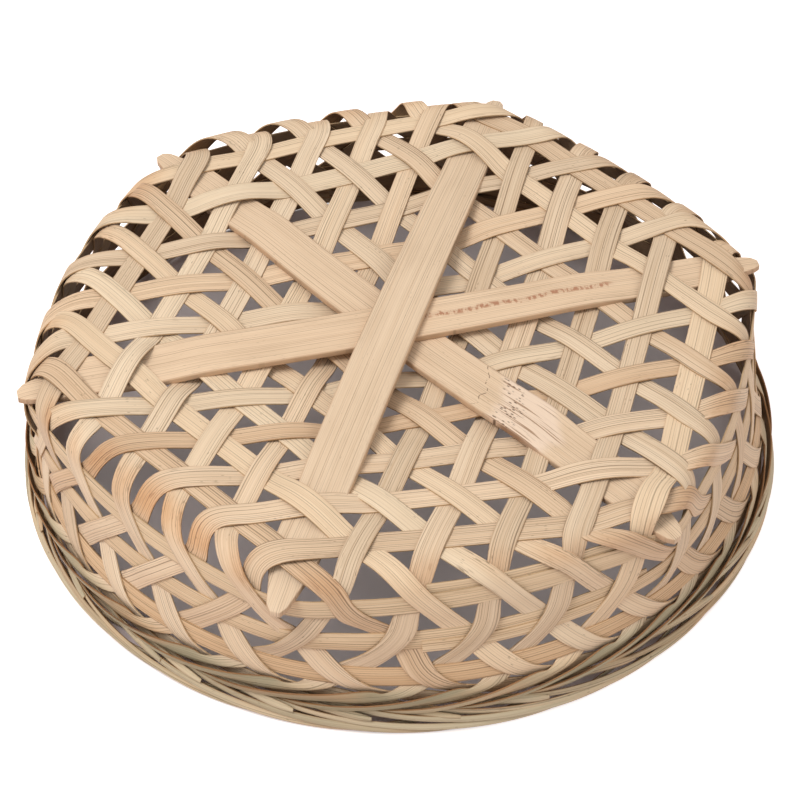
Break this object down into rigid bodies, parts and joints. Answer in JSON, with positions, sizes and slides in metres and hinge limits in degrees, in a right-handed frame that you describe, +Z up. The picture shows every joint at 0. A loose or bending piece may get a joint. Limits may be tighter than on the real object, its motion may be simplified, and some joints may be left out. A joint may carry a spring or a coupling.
{
  "type": "bamboo draining basket",
  "caption": "Round woven bamboo draining basket lying mouth down, with an open triangular weave, stiffening slats across the base, hooped wall and plaited border.",
  "frame": {"origin": "centre of the mouth, at floor level, with the basket lying mouth down as pictured", "axes": "+Z up from the mouth to the woven base, +X along the middle slat, Y across it"},
  "size_m": [0.3378, 0.338, 0.0775],
  "materials": {
    "bamboo_strip": "satin",
    "bamboo_slat": "satin",
    "bamboo_hoop": "satin"
  },
  "bodies": {
    "root": {"level_strip_1": "bamboo_strip", "level_strip_2": "bamboo_strip", "level_strip_3": "bamboo_strip", "level_strip_4": "bamboo_strip", "level_strip_5": "bamboo_strip", "level_strip_6": "bamboo_strip", "level_strip_7": "bamboo_strip", "level_strip_8": "bamboo_strip", "level_strip_9": "bamboo_strip", "level_strip_10": "bamboo_strip", "rising_strip_1": "bamboo_strip", "rising_strip_2": "bamboo_strip", "rising_strip_3": "bamboo_strip", "rising_strip_4": "bamboo_strip", "rising_strip_5": "bamboo_strip", "rising_strip_6": "bamboo_strip", "rising_strip_7": "bamboo_strip", "rising_strip_8": "bamboo_strip", "rising_strip_9": "bamboo_strip", "rising_strip_10": "bamboo_strip", "falling_strip_1": "bamboo_strip", "falling_strip_2": "bamboo_strip", "falling_strip_3": "bamboo_strip", "falling_strip_4": "bamboo_strip", "falling_strip_5": "bamboo_strip", "falling_strip_6": "bamboo_strip", "falling_strip_7": "bamboo_strip", "falling_strip_8": "bamboo_strip", "falling_strip_9": "bamboo_strip", "falling_strip_10": "bamboo_strip", "lower_slat": "bamboo_slat", "middle_slat": "bamboo_slat", "upper_slat": "bamboo_slat", "shoulder_hoop": "bamboo_hoop", "middle_hoop": "bamboo_hoop", "mouth_hoop": "bamboo_hoop"}
  },
  "joints": []
}
